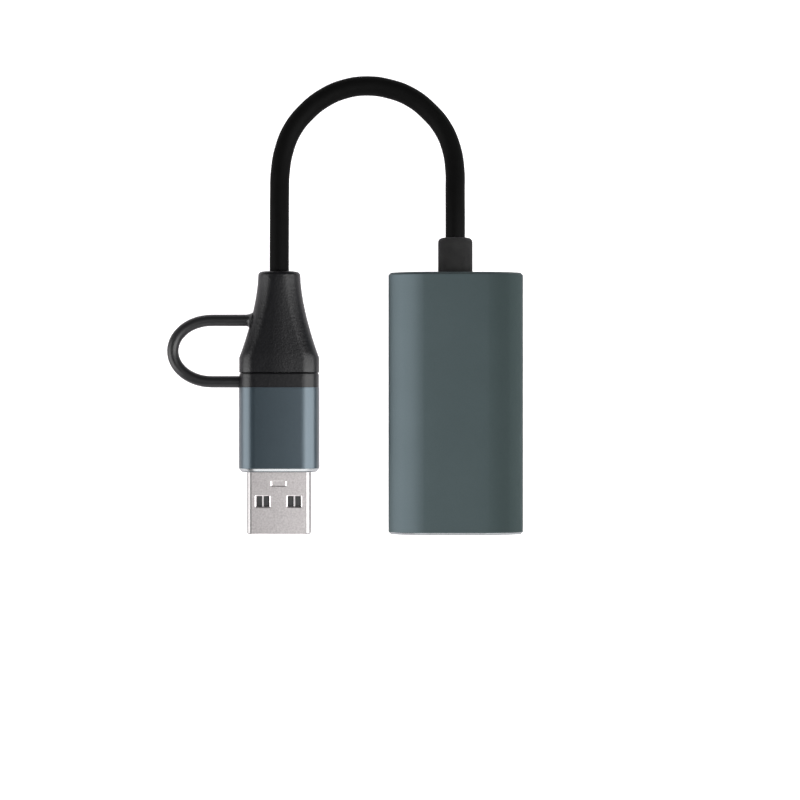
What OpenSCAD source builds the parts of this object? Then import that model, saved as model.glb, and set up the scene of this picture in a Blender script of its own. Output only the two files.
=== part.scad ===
// Video capture box. An aluminium box takes a video lead at its front end, and a short cable
// from its rear end carries a reversible plug, with a host plug adapter pushed onto that plug.
// Sizes are in millimetres. The box lies on z = 0 at the origin, with its cable end towards +Y.

/* [Box] */
// Width of the box
box_w = 25.2; // [23.2:0.2:28]
// Length of the box, from its video end to its cable end
box_l = 48.9; // [45:0.1:64]
// Height of the box
box_h = 12; // [11:0.5:16]
// Width of the flat on its top and on its bottom
box_flat_w = 12.4; // [10:0.2:14]
// Height of its upright sides, before their corners are rounded
box_side_h = 6.4; // [5:0.2:8]
// Radius where the upright sides turn into the bowed edges
box_side_r = 1.2; // [1.2:0.1:2]
// Wall of the aluminium tube
box_wall = 0.7; // [0.6:0.1:1.2]
// Polished chamfer around both ends of the tube
box_chamfer = 0.45; // [0.2:0.05:0.5]
// Width of the two rails inside the tube that carry the board
rail_w = 1.2; // [0.8:0.1:2]
// Thickness of the plastic end plates
plate_t = 2; // [1.5:0.1:3]
// How far the end plates sit inside the tube's ends
plate_depth = 0.15; // [0.1:0.05:0.4]

/* [Video socket] */
// Width of the socket's opening
video_w = 14; // [13.6:0.1:14.4]
// Height of the socket's opening
video_h = 4.55; // [4.4:0.05:4.8]
// Width of the opening on its narrow side, which faces the board
video_narrow_w = 9.9; // [9:0.1:10.4]
// Height of the opening's upright sides
video_side_h = 2.6; // [2.2:0.1:3]
// Width of the step below each upright side
video_step_w = 1.1; // [0.8:0.1:1.4]
// Fall of that step
video_step_h = 0.4; // [0.2:0.1:0.6]
// Radius of the opening's outer corners
video_r = 0.35; // [0.2:0.05:0.5]
// Length of the socket behind its mouth
video_l = 11; // [10:0.5:13]
// Sheet thickness of the socket's shell
video_wall = 0.3; // [0.2:0.05:0.4]
// Width of the socket's tongue
video_tongue_w = 11.1; // [10.8:0.1:11.6]
// Thickness of the tongue
video_tongue_t = 1.2; // [1:0.1:1.5]
// Height of the tongue's upper face above the middle of the opening
video_tongue_top = 0.55; // [0.4:0.05:0.7]
// Distance from the socket's mouth to the tongue's tip
video_tongue_set = 1.5; // [1:0.1:2.5]
// Length of the solid block at the back of the socket
video_block_l = 2.5; // [2:0.1:4]
// Contacts in the upper row, one more than in the lower row
video_contacts = 10; // [8:1:10]
// Spacing of the contacts in a row
video_pitch = 1; // [0.9:0.05:1.1]
// Width of a video contact
video_contact_w = 0.4; // [0.3:0.02:0.42]
// Length along the box of each of the shell's four board legs
video_leg_l = 1.2; // [0.8:0.1:2]

/* [Main board] */
// Thickness of the main board
board_t = 1; // [0.8:0.1:1.6]
// Gap between the main board and what stands around it
board_gap = 0.3; // [0.1:0.05:0.5]
// Side of the square capture chip under the board
chip_w = 9; // [7:0.5:11]
// Thickness of the capture chip
chip_t = 0.9; // [0.7:0.1:1.2]
// Thickness of the thermal pad between the chip and the box's floor
pad_t = 0.8; // [0.3:0.1:1.2]
// Length, width and height of the memory chip
memory_size = [5, 4, 1.5]; // [0.5:0.1:6]
// Length, width and height of the clock crystal's can
crystal_size = [3.2, 2.5, 0.8]; // [0.5:0.1:4]
// Length, width and height of each voltage regulator
regulator_size = [3, 1.6, 1.1]; // [0.5:0.1:4]
// Diameter of the power coil
coil_d = 4.4; // [3:0.1:5]
// Height of the power coil
coil_h = 2; // [1:0.1:3]
// Length, width and height of each capacitor
capacitor_size = [1.6, 0.8, 0.8]; // [0.4:0.1:2]
// Capacitors in the row behind the memory chip
capacitors_in_row = 5; // [3:1:6]
// Gap between neighbouring parts on a board
parts_gap = 0.8; // [0.4:0.1:1.2]

/* [Strain relief] */
// Diameter of the strain relief outside the box
relief_d = 6.5; // [5.6:0.1:8]
// Length of the strain relief outside the box
relief_l = 6.7; // [4:0.1:10]
// Radius around its outer end
relief_round = 0.8; // [0.4:0.1:1.2]
// Wall around the cable at its neck in the rear end plate
relief_neck_wall = 0.65; // [0.5:0.05:0.9]
// How far its flange inside the box stands out from the neck
relief_rim = 1.5; // [1:0.1:1.8]
// Thickness of that flange
relief_flange_t = 1.2; // [0.8:0.1:2]

/* [Cable] */
// Diameter of the cable
cable_d = 3.7; // [3.2:0.1:4]
// Length of the metal ferrule crimped on each end of the cable
ferrule_l = 2.6; // [2:0.1:3.5]
// Wall of the ferrule
ferrule_wall = 0.4; // [0.2:0.05:0.5]
// Stretch of cable that stands out of each ferrule
cable_stub_l = 0.4; // [0.2:0.1:0.6]
// Insulated wires in each of the cable's two rows
leads_in_row = 4; // [2:1:4]
// Diameter of an insulated wire
lead_d = 0.6; // [0.4:0.05:0.7]
// Gap between the wires where they leave the cable
lead_gap = 0.1; // [0.05:0.01:0.15]
// Spacing of the wires on the main board
lead_pad_pitch = 1.6; // [1.2:0.1:2]
// Distance from the cable's end in the box to the nearer row of wire pads
lead_run = 2.4; // [2:0.1:4]
// Distance between the two rows of wire pads
lead_row_l = 2.4; // [2:0.1:3]
// Distance from the cable's end in the plug to the plug's board
plug_lead_l = 1.3; // [1:0.1:2]

/* [Cable plug] */
// How far the plug housing stands inside the sleeve's outline where they line up
plug_step = 0.05; // [0:0.05:0.2]
// Length of the plug housing
plug_l = 19.1; // [18:0.1:24]
// Width of the plug housing at its cable end
plug_top_w = 8; // [7.8:0.1:10]
// Height of the plug housing at its cable end
plug_top_h = 6.6; // [6.4:0.1:7.4]
// Radius around its cable end
plug_top_round = 0.75; // [0.4:0.05:1]
// Length of the straight band that meets the adapter
plug_band_l = 2.8; // [2:0.1:4]
// How late the housing flares, as the power of its curve
plug_flare = 1.6; // [1.2:0.1:2]
// Length of the cable's bore in the housing
plug_bore_l = 5; // [4:0.1:6]
// Gap around the board and the ferrule in the housing's hollow
hollow_gap = 0.15; // [0.1:0.05:0.3]
// Width of the plug's board
plug_board_w = 6.1; // [5.8:0.1:6.6]
// Width of the reversible plug
tip_w = 8.25; // [8:0.05:8.6]
// Height of the reversible plug
tip_h = 2.4; // [2.3:0.05:2.6]
// Length of the reversible plug in front of its housing
tip_l = 6.65; // [6.2:0.05:7.2]
// Length of the reversible plug held inside its housing
tip_hold_l = 5; // [4:0.1:6]
// Sheet thickness of the reversible plug's shell
tip_wall = 0.2; // [0.15:0.05:0.25]
// Contacts in each of the two rows of the reversible plug and of its socket
tip_contacts = 12; // [8:1:12]
// Spacing of those contacts
tip_pitch = 0.5; // [0.45:0.01:0.55]
// Width of those contacts
tip_contact_w = 0.26; // [0.2:0.02:0.36]
// Distance from the plug's tip, or the tongue's, to its contacts
contact_set = 0.6; // [0.4:0.1:1]
// Height of the plug's two side latches
latch_h = 0.6; // [0.4:0.1:0.8]

/* [Adapter] */
// Width of the adapter's aluminium sleeve
sleeve_w = 15.2; // [14.6:0.1:17]
// Height of the sleeve
sleeve_h = 8; // [7.6:0.1:9]
// Length of the sleeve
sleeve_l = 15.95; // [15:0.05:20]
// Radius of the sleeve's long edges
sleeve_r = 3.2; // [2.4:0.1:3.6]
// Wall of the sleeve
sleeve_wall = 0.7; // [0.5:0.05:0.9]
// Length of the polished chamfer at the sleeve's plug end
sleeve_chamfer_l = 0.65; // [0.4:0.05:1.2]
// Flat rim that the chamfer leaves of the sleeve's wall
sleeve_rim = 0.2; // [0.1:0.05:0.3]
// How far the black collar stands inside the sleeve's outline
collar_step = 0.1; // [0:0.05:0.2]
// Length of the collar that shows
collar_l = 2.5; // [2.3:0.1:3.5]
// Length of the collar's spigot inside the sleeve
spigot_l = 2.5; // [2:0.1:4]
// Gap between the plug housing and the collar
seam = 0.3; // [0.1:0.05:0.5]
// Play around the reversible plug in the adapter's socket
tip_play = 0.06; // [0.04:0.01:0.1]
// Sheet thickness of the socket's shell
socket_wall = 0.25; // [0.2:0.05:0.3]
// How far the socket's mouth sits inside the collar
socket_depth = 0.1; // [0.05:0.05:0.3]
// Room beyond the plug's tip inside the socket
socket_room = 0.3; // [0.2:0.05:0.6]
// Length of the solid block at the back of the socket
socket_block_l = 1.2; // [1:0.1:2]
// Width of the socket's tongue
tongue_w = 6.69; // [6.4:0.01:6.9]
// Thickness of the socket's tongue
tongue_t = 0.7; // [0.6:0.02:0.8]
// Length of the socket's tongue
tongue_l = 4.45; // [4:0.05:5]
// Play around the tongue in the reversible plug's slot
slot_play = 0.08; // [0.05:0.01:0.1]
// Width of the adapter's board
adapter_board_w = 11; // [9:0.1:11.4]
// Length, width and height of each resistor on the adapter's board
resistor_size = [0.8, 1.6, 0.5]; // [0.4:0.1:1.6]

/* [Host plug] */
// Width of the host plug
host_w = 12; // [11.5:0.05:12.5]
// Height of the host plug
host_h = 4.5; // [4.2:0.05:4.8]
// Length of the host plug in front of the sleeve
host_l = 11.75; // [11:0.05:12.5]
// Length of the host plug held inside the sleeve
host_hold_l = 5.5; // [4.5:0.1:6]
// Radius of the host plug's long edges
host_r = 0.6; // [0.4:0.1:0.8]
// Sheet thickness of the host plug's shell
host_wall = 0.3; // [0.25:0.05:0.4]
// Side to side size of the four windows in the shell
window_w = 2.5; // [2:0.1:3]
// Length of the windows along the plug
window_l = 2; // [1.5:0.1:2.5]
// Distance from the plug's axis to the middle of a window
window_x = 2.97; // [2.5:0.01:3.5]
// Distance from the plug's tip to the middle of a window
window_y = 6.2; // [5.5:0.05:7]
// Width of the dimple that is pressed into the shell
dimple_w = 3.4; // [2.5:0.1:4]
// Length of the dimple along the plug
dimple_l = 1.3; // [1:0.1:1.6]
// Depth of the dimple
dimple_d = 0.15; // [0.05:0.05:0.2]
// Distance from the sleeve to the middle of the dimple
dimple_y = 2.2; // [1.6:0.05:2.6]
// Room between the insulator's upper face and the shell, taken up by crush ribs
rib_h = 0.35; // [0.2:0.05:0.5]
// Width of a crush rib
rib_w = 0.3; // [0.2:0.05:0.5]
// Distance from the plug's tip to the insulator's front
insulator_set = 0.4; // [0.2:0.1:0.8]
// Length of the insulator's full block that stands out of the sleeve
host_block_l = 0.5; // [0.3:0.1:1]
// Distance from the plug's tip to its four wide contacts
host_contact_set = 1.2; // [0.8:0.1:2]
// Width of the four wide contacts
host_contact_w = 1; // [0.8:0.1:1.4]
// Width of the five narrow contact springs
host_spring_w = 0.5; // [0.3:0.1:0.8]
// Length of those springs in front of the block
host_spring_l = 3; // [2:0.1:4]
// Length of the plastic plug that holds the host plug in the sleeve
end_plug_l = 3.5; // [2.5:0.1:4.5]

/* [Tether] */
// Thickness of the tether as seen from above
tether_w = 2.2; // [1.8:0.1:2.4]
// Height of the tether
tether_h = 2.4; // [2:0.1:2.8]
// Distance from the seam up to the tether's upper run
tether_up = 9.9; // [9:0.05:11]
// Distance from the collar's middle down to the tether's lower run
tether_drop = 0.2; // [0:0.05:0.25]
// Reach of the tether's loop from the plug's axis
tether_reach = 20.2; // [17:0.05:24]
// Length of the loop's rounded end
tether_bow = 7.4; // [6:0.1:8]
// Diameter of the thinner stubs at the tether's ends
stub_d = 1.5; // [1.2:0.1:1.7]
// Depth of the pockets that take the stubs
pocket_l = 1.3; // [1:0.1:1.4]
// Play around a stub in its pocket
stub_play = 0.08; // [0.05:0.01:0.12]
// Gap between the tether's full section and what its ends enter
tether_gap = 0.15; // [0.1:0.05:0.3]

/* [Fits] */
// Clearance between pieces that are pressed or glued together
fit = 0.04; // [0.02:0.01:0.06]
// Thickness of the metal strips that make the contacts
strip_t = 0.1; // [0.08:0.01:0.12]
// Length of a contact's tail on its board
tail_l = 1; // [0.6:0.1:1.2]

/* [Hidden] */
$fn = 64;

// Cuts reach this far past the faces that they open
past = 1;
// Straight pieces in each rounded corner of an outline
corner_steps = 6;
// Shortest flat left between two rounded corners
least_flat = 0.02;
// Sides of the cable and of its wires
cable_sides = 8;

// Heights in the box: the pad, chip and board are stacked on its floor
board_z = box_wall + pad_t + chip_t;
board_top = board_z + board_t;
video_z = board_top + video_wall + video_h / 2;
cable_z = box_h / 2;

// The box's section: a bowed edge runs from the flat to each upright side
edge_run = (box_w - box_flat_w) / 2;
edge_drop = (box_h - box_side_h) / 2;
edge_r = (edge_run * edge_run + edge_drop * edge_drop) / (2 * edge_drop);
edge_c = [box_flat_w / 2, box_h / 2 - edge_r];
side_r = max(box_side_r, box_wall + 3 * fit);
side_x = box_w / 2 - side_r;
side_c = [side_x, edge_c.y + sqrt(pow(edge_r - side_r, 2) - pow(side_x - edge_c.x, 2))];
side_turn = atan2(side_c.y - edge_c.y, side_c.x - edge_c.x);

// The main board is as wide as the tube's inside lets it be at the board's underside
board_w = 2 * (box_flat_w / 2 + sqrt(pow(edge_r - box_wall, 2) - pow(edge_r - board_z, 2)) - board_gap);
rail_x = board_w / 2 - rail_w;

// Places along the box
front_y = -box_l / 2 + plate_depth;
rear_y = box_l / 2 - plate_depth;
front_in_y = front_y + plate_t;
rear_in_y = rear_y - plate_t;
flange_in_y = rear_in_y - relief_flange_t;
relief_neck_d = cable_d + 2 * relief_neck_wall;
box_cable_end_y = flange_in_y - ferrule_l - cable_stub_l;
board_y0 = front_in_y + board_gap;
board_y1 = box_cable_end_y - board_gap;
video_back_y = front_y + video_l;
parts_y = video_back_y + 2 * tail_l + parts_gap;
exit_y = box_l / 2 + relief_l;

// Route of the cable's free stretch, from the box's end and on to the plug: x, y from the strain
// relief's mouth, and height as a share of the way from the table up to that end
box_leg = [
    [0, 0, 1], [0, 3, 1], [0, 6, 0.94], [0, 9, 0.8], [0, 12.8, 0.58], [-0.6, 17.1, 0.34],
    [-2.2, 21.1, 0.18], [-4.9, 24.5, 0.07], [-8.3, 27.2, 0.02], [-12.3, 28.8, 0], [-16.6, 29.4, 0]
];
plug_leg = [
    [-21, 28.8, 0], [-24.9, 27.1, 0], [-28.2, 24.5, 0], [-30.9, 21.1, 0.05], [-32.5, 17.1, 0.2],
    [-33.2, 12.8, 0.4], [-33.3, 8.4, 0.62], [-33.3, 4.2, 0.82], [-33.3, 0, 0.95], [-33.3, -3, 1],
    [-33.3, -6.2, 1]
];
cable_low_z = cable_d / 2 + fit;
plug_z = sleeve_h / 2;
cable_route = concat(
    [for (p = box_leg) [p.x, p.y + exit_y, cable_low_z + p.z * (cable_z - cable_low_z)]],
    [for (p = plug_leg) [p.x, p.y + exit_y, cable_low_z + p.z * (plug_z - cable_low_z)]]
);
cable_end = cable_route[len(cable_route) - 1];

// The plug and the adapter lie on the table at the cable's far end, and point to -Y
plug_x = cable_end.x;
plug_w = sleeve_w - 2 * plug_step;
plug_h = sleeve_h - 2 * plug_step;
plug_top_y = cable_end.y;
plug_y = plug_top_y - plug_l;
band_y = plug_y + plug_band_l;
flare_y = plug_top_y - plug_top_round;
hollow_top_y = plug_top_y - plug_bore_l;
plug_cable_end_y = hollow_top_y - ferrule_l - cable_stub_l;
tip_y = plug_y - tip_l;
tip_back_y = plug_y + tip_hold_l;
plug_board_y = plug_cable_end_y - plug_lead_l;
ferrule_d = cable_d + 2 * ferrule_wall;
lead_pitch = lead_d + lead_gap;
lead_places = [for (i = [0:leads_in_row - 1]) i - (leads_in_row - 1) / 2];
hollow_w = max(plug_board_w, ferrule_d) + 2 * hollow_gap;
hollow_h = ferrule_d + 2 * hollow_gap;

// The slot in the reversible plug takes the socket's tongue, and each board lies between its contacts
slot_w = tongue_w + 2 * slot_play;
slot_h = tongue_t + 2 * slot_play;
slot_y = tip_y + tongue_l;
plug_board_t = slot_h - fit;
adapter_board_t = tongue_t - 2 * strip_t;

collar_y = plug_y - seam;
sleeve_y = collar_y - collar_l;
spigot_y = sleeve_y - spigot_l;
sleeve_end_y = sleeve_y - sleeve_l;
collar_w = sleeve_w - 2 * collar_step;
collar_h = sleeve_h - 2 * collar_step;
socket_y = collar_y - socket_depth;
socket_block_y = tip_y - socket_room;
socket_back_y = socket_block_y - socket_block_l;

host_y = sleeve_end_y - host_l;
host_back_y = sleeve_end_y + host_hold_l;
host_in_w = host_w - 2 * host_wall;
host_in_h = host_h - 2 * host_wall;
host_block_y = sleeve_end_y - host_block_l;
host_step_y = host_back_y + 2 * strip_t;
adapter_board_y = host_step_y + 2 * strip_t;
host_contact_x = [-3.5, -1, 1, 3.5];
host_spring_x = [-4, -2, 0, 2, 4];

tether_up_y = plug_y + tether_up;
tether_down_y = collar_y - collar_l / 2 - tether_drop;
tether_mid_y = (tether_up_y + tether_down_y) / 2;
tether_half = (tether_up_y - tether_down_y) / 2;
tether_bow_x = tether_bow - tether_reach;
// Half the housing's width where the tether's upper run leaves it
housing_half_w = flared(plug_top_w, plug_w, (flare_y - tether_up_y) / (flare_y - band_y)) / 2;
// Straight pieces in the tether's bow, and sides of its section
tether_steps = 16;
tether_sides = 12;

// Shapes of outlines and rings

function unit(v) = v / norm(v);

// Points of an arc without its last point, which starts the next stretch
function arc(c, r, from, to) =
    [for (i = [0:corner_steps - 1])
        let (a = from + (to - from) * i / corner_steps)
        c + r * [cos(a), sin(a)]];

// One quarter's outline, mirrored to all four, anticlockwise
function mirrored(q) = concat(
    q,
    [for (i = [len(q) - 1:-1:0]) [-q[i].x, q[i].y]],
    [for (p = q) -p],
    [for (i = [len(q) - 1:-1:0]) [q[i].x, -q[i].y]]
);

// The box's section about its middle, drawn in by an inset
function box_outline(inset) = mirrored(concat(
    arc(side_c, side_r - inset, 0, side_turn),
    arc(edge_c, edge_r - inset, side_turn, 90),
    [[edge_c.x, box_h / 2 - inset]]
));

// A rectangle with round corners, about its middle
function rounded(w, h, r) =
    let (q = min(r, (h - least_flat) / 2, (w - least_flat) / 2))
    mirrored(concat(arc([w / 2 - q, h / 2 - q], q, 0, 90), [[w / 2 - q, h / 2]]));

// The video opening has a wide side up and a narrow side down
function video_half() =
    let (low = video_h / 2 - video_side_h)
    [
        [video_w / 2, video_h / 2],
        [video_w / 2, low],
        [video_w / 2 - video_step_w, low - video_step_h],
        [video_narrow_w / 2, -video_h / 2]
    ];

// A closed section turned into a ring of points at one place along the plug or the box
function ring_at(outline, y) = [for (p = outline) [p.x, y, p.y]];

// A ring square to a route, with its own half width and half height
function ring_on(p, along, half_w, half_h, sides) =
    let (side = unit(cross(along, [0, 0, 1])), up = cross(side, along))
    [for (i = [0:sides - 1])
        let (a = 360 * i / sides)
        p + half_w * cos(a) * side + half_h * sin(a) * up];

// Direction of a route at one of its points
function heading(route, i) =
    unit(route[min(i + 1, len(route) - 1)] - route[max(i - 1, 0)]);

// A round tube's rings along a route
function tube_rings(route, d, sides) =
    [for (i = [0:len(route) - 1]) ring_on(route[i], heading(route, i), d / 2, d / 2, sides)];

// A closed solid over a row of rings, each with the same count of points
module skin(rings) {
    n = len(rings[0]);
    last = len(rings) - 1;
    sides = [
        for (j = [0:last - 1], i = [0:n - 1])
        let (a = j * n + i, b = j * n + (i + 1) % n)
        each [[a, b, a + n], [b, b + n, a + n]]
    ];
    near_cap = [for (i = [n - 1:-1:0]) i];
    far_cap = [for (i = [0:n - 1]) last * n + i];
    polyhedron(points = [for (r = rings) each r], faces = concat([near_cap, far_cap], sides));
}

// A section in x and z, drawn from y0 to y1
module along_y(y0, y1) {
    translate([0, y1, 0])
        rotate([90, 0, 0])
            linear_extrude(height = y1 - y0)
                children();
}

// A block given by its ranges in x, y and z
module block(x, y, z) {
    translate([x[0], y[0], z[0]])
        cube([x[1] - x[0], y[1] - y[0], z[1] - z[0]]);
}

// A round bar along y
module bar_y(d, y0, y1) {
    translate([0, y1, 0])
        rotate([90, 0, 0])
            cylinder(d = d, h = y1 - y0);
}

// A block on the main board's top, by the middle of its footprint
module on_board(place, size) {
    translate([place.x - size.x / 2, place.y - size.y / 2, board_top])
        cube(size);
}

module at_plug() {
    translate([plug_x, 0, plug_z])
        children();
}

// A row of strips along y, spread about x = 0
module strip_row(count, pitch, w, y, z) {
    for (i = [0:count - 1])
        translate([(i - (count - 1) / 2) * pitch, 0, 0])
            block([-w / 2, w / 2], y, z);
}

// Box

// The tube's inside in section, drawn in by an inset
module inside(inset) {
    translate([0, box_h / 2])
        polygon(box_outline(inset));
}

module rails() {
    for (side = [-1, 1])
        translate([side * rail_x - rail_w / 2, 0])
            square([rail_w, board_z]);
}

// The rails stop at both end plates, which are pushed in against them
module box_tube() {
    half = box_l / 2;
    color("#4c5a5b")
        difference() {
            translate([0, 0, box_h / 2])
                skin([
                    ring_at(box_outline(box_chamfer), half),
                    ring_at(box_outline(0), half - box_chamfer),
                    ring_at(box_outline(0), box_chamfer - half),
                    ring_at(box_outline(box_chamfer), -half)
                ]);
            along_y(front_in_y, rear_in_y)
                difference() {
                    inside(box_wall);
                    rails();
                }
            along_y(-half - past, front_in_y)
                inside(box_wall);
            along_y(rear_in_y, half + past)
                inside(box_wall);
        }
}

module front_plate() {
    color("#1c2728")
        along_y(front_y, front_in_y)
            difference() {
                inside(box_wall + fit);
                translate([0, video_z])
                    video_outline(video_wall + fit);
            }
}

module rear_plate() {
    color("#1c2728")
        along_y(rear_in_y, rear_y)
            difference() {
                inside(box_wall + fit);
                translate([0, cable_z])
                    circle(d = relief_neck_d + 2 * fit);
            }
}

// Video socket

module video_outline(grow) {
    half = video_half();
    offset(r = video_r + grow, $fn = 32)
        offset(delta = -video_r)
            polygon(concat(half, [for (i = [len(half) - 1:-1:0]) [-half[i].x, half[i].y]]));
}

// The shell's four legs, which pass through the board from its side walls
module video_legs(grow) {
    for (side = [-1, 1], y = [front_in_y + 2 * video_leg_l, video_back_y - 2 * video_leg_l])
        translate([side * (video_w + video_wall) / 2, y, 0])
            block(
                [-video_wall / 2 - grow, video_wall / 2 + grow],
                [-video_leg_l / 2 - grow, video_leg_l / 2 + grow],
                [board_z - grow, video_z]
            );
}

module video_socket_shell() {
    color("#b5b6b0") {
        along_y(front_y, video_back_y)
            translate([0, video_z])
                difference() {
                    video_outline(video_wall);
                    video_outline(0);
                }
        video_legs(0);
    }
}

module video_socket_insulator() {
    top = video_z + video_tongue_top;
    color("#202426")
        difference() {
            union() {
                along_y(video_back_y - video_block_l, video_back_y)
                    translate([0, video_z])
                        video_outline(-fit);
                block(
                    [-video_tongue_w / 2, video_tongue_w / 2],
                    [front_y + video_tongue_set, video_back_y - video_block_l / 2],
                    [top - video_tongue_t, top]
                );
            }
            video_socket_contacts();
        }
}

// One row of contacts: along a face of the tongue, out of the block's back and down to the board
module video_contact_row(count, z, back_y) {
    start_y = front_y + video_tongue_set + 2 * video_contact_w;
    strip_row(count, video_pitch, video_contact_w, [start_y, back_y], [z, z + strip_t]);
    strip_row(count, video_pitch, video_contact_w, [back_y - strip_t, back_y], [board_top, z + strip_t]);
    strip_row(
        count, video_pitch, video_contact_w,
        [back_y - strip_t, back_y + tail_l], [board_top, board_top + strip_t]
    );
}

module video_socket_contacts() {
    top = video_z + video_tongue_top;
    color("#c9b06a") {
        video_contact_row(video_contacts, top - strip_t, video_back_y + tail_l);
        video_contact_row(video_contacts - 1, top - video_tongue_t, video_back_y + tail_l / 2);
    }
}

// Main board

module main_board() {
    color("#1f5a3a")
        difference() {
            block([-board_w / 2, board_w / 2], [board_y0, board_y1], [board_z, board_top]);
            video_legs(fit);
        }
}

module capture_chip() {
    color("#26282a")
        translate([-chip_w / 2, -chip_w / 2, board_z - chip_t])
            cube([chip_w, chip_w, chip_t]);
}

module thermal_pad() {
    color("#8c9aa6")
        translate([-chip_w / 2, -chip_w / 2, box_wall])
            cube([chip_w, chip_w, pad_t]);
}

module memory_chip() {
    color("#2b2d2f")
        on_board([-board_w / 4, parts_y + memory_size.y / 2], memory_size);
}

module clock_crystal() {
    color("#c4c6c4")
        on_board([0, parts_y + crystal_size.y / 2], crystal_size);
}

module voltage_regulators() {
    color("#303234")
        for (i = [0, 1])
            on_board([board_w / 4, parts_y + (i + 0.5) * (regulator_size.y + parts_gap)], regulator_size);
}

module power_coil() {
    color("#4a4845")
        translate([board_w / 4, parts_y + 2 * (regulator_size.y + parts_gap) + coil_d / 2, board_top])
            cylinder(d = coil_d, h = coil_h);
}

module capacitors() {
    row_y = parts_y + memory_size.y + parts_gap;
    color("#a98f6c")
        for (i = [0:capacitors_in_row - 1])
            on_board([-board_w / 4, row_y + (i + 0.5) * (capacitor_size.y + parts_gap)], capacitor_size);
}

// Two rows of wires: the upper row lands on the board beyond the lower row
module board_leads() {
    bend = lead_d;
    color("#a33a32")
        for (row = [0, 1], i = lead_places) {
            start = [i * lead_pitch, box_cable_end_y, cable_z + (row - 0.5) * lead_pitch];
            land_y = box_cable_end_y - lead_run - row * lead_row_l;
            land = [i * lead_pad_pitch, land_y, board_top + (lead_d + fit) / 2];
            skin(tube_rings([
                start,
                start - [0, bend, 0],
                land + [0, bend, bend / 2],
                land,
                land - [0, tail_l, 0]
            ], lead_d, cable_sides));
        }
}

// Strain relief and cable

module strain_relief() {
    out = exit_y - rear_y;
    top_r = relief_d / 2 - relief_round;
    flange_r = relief_neck_d / 2 + relief_rim;
    bore_r = cable_d / 2 + fit / 2;
    color("#2a2b2d")
        translate([0, rear_y, cable_z])
            rotate([-90, 0, 0])
                rotate_extrude()
                    polygon(concat(
                        [
                            [bore_r, -plate_t - relief_flange_t],
                            [flange_r, -plate_t - relief_flange_t],
                            [flange_r, -plate_t],
                            [relief_neck_d / 2, -plate_t],
                            [relief_neck_d / 2, 0],
                            [relief_d / 2, 0]
                        ],
                        arc([top_r, out - relief_round], relief_round, 0, 90),
                        [[top_r, out], [bore_r, out]]
                    ));
}

module ferrule(y0) {
    difference() {
        bar_y(ferrule_d, y0, y0 + ferrule_l);
        bar_y(cable_d + fit, y0 - past, y0 + ferrule_l + past);
    }
}

// One ferrule bears on the strain relief's flange, and one on the shoulder of the plug's bore
module cable_ferrules() {
    color("#b9bbb8") {
        translate([0, 0, cable_z])
            ferrule(flange_in_y - ferrule_l);
        at_plug()
            ferrule(hollow_top_y - ferrule_l);
    }
}

module cable_ends() {
    color("#1d1e20") {
        translate([0, 0, cable_z])
            bar_y(cable_d, box_cable_end_y, exit_y);
        at_plug()
            bar_y(cable_d, plug_cable_end_y, plug_top_y);
    }
}

module cable() {
    color("#1d1e20")
        skin(tube_rings(cable_route, cable_d, cable_sides));
}

// Cable plug

// The housing's width or height, where t runs from 0 at its cable end to 1 at its band
function flared(end, band, t) = end + (band - end) * pow(t, plug_flare);

function housing_ring(y, t, inset) =
    let (w = flared(plug_top_w, plug_w, t) - 2 * inset, h = flared(plug_top_h, plug_h, t) - 2 * inset)
    ring_at(rounded(w, h, sleeve_r), y);

module housing_body() {
    steps = 10;
    round_steps = 4;
    skin(concat(
        [for (i = [round_steps:-1:1])
            let (a = 90 * i / round_steps)
            housing_ring(flare_y + plug_top_round * sin(a), 0, plug_top_round * (1 - cos(a)))],
        [for (i = [0:steps])
            housing_ring(flare_y + (band_y - flare_y) * i / steps, i / steps, 0)],
        [housing_ring(plug_y, 1, 0)]
    ));
}

module plug_housing() {
    color("#2d2e30")
        difference() {
            at_plug()
                housing_body();
            at_plug() {
                bar_y(cable_d + fit, hollow_top_y - past, plug_top_y + past);
                block(
                    [-hollow_w / 2, hollow_w / 2],
                    [tip_back_y - fit, hollow_top_y],
                    [-hollow_h / 2, hollow_h / 2]
                );
                along_y(plug_y - past, tip_back_y)
                    polygon(rounded(tip_w + fit, tip_h + fit, tip_h));
                tether_pocket(-housing_half_w, tether_up_y);
            }
        }
}

module plug_shell() {
    color("#b4b5b6")
        at_plug()
            along_y(tip_y, tip_back_y)
                difference() {
                    polygon(rounded(tip_w, tip_h, tip_h));
                    polygon(rounded(tip_w - 2 * tip_wall, tip_h - 2 * tip_wall, tip_h));
                }
}

module plug_insulator() {
    in_w = tip_w - 2 * tip_wall - fit;
    in_h = tip_h - 2 * tip_wall - fit;
    color("#1b1c1e")
        difference() {
            at_plug()
                along_y(tip_y + tip_wall, tip_back_y)
                    polygon(rounded(in_w, in_h, in_h));
            at_plug()
                block([-slot_w / 2, slot_w / 2], [tip_y, slot_y], [-slot_h / 2, slot_h / 2]);
            plug_contacts();
            plug_latches();
        }
}

module plug_contacts() {
    color("#c9b06a")
        at_plug()
            for (low = [-slot_h / 2 - strip_t, slot_h / 2])
                strip_row(
                    tip_contacts, tip_pitch, tip_contact_w,
                    [tip_y + contact_set, tip_back_y + tail_l], [low, low + strip_t]
                );
}

// The two side springs that catch behind the socket's tongue
module plug_latches() {
    color("#a8aaab")
        at_plug()
            for (x = [-slot_w / 2 - strip_t, slot_w / 2])
                block(
                    [x, x + strip_t], [tip_y + contact_set, slot_y + tail_l], [-latch_h / 2, latch_h / 2]
                );
}

module plug_board() {
    color("#1f5a3a")
        at_plug()
            block(
                [-plug_board_w / 2, plug_board_w / 2],
                [tip_back_y, plug_board_y],
                [-plug_board_t / 2, plug_board_t / 2]
            );
}

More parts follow.
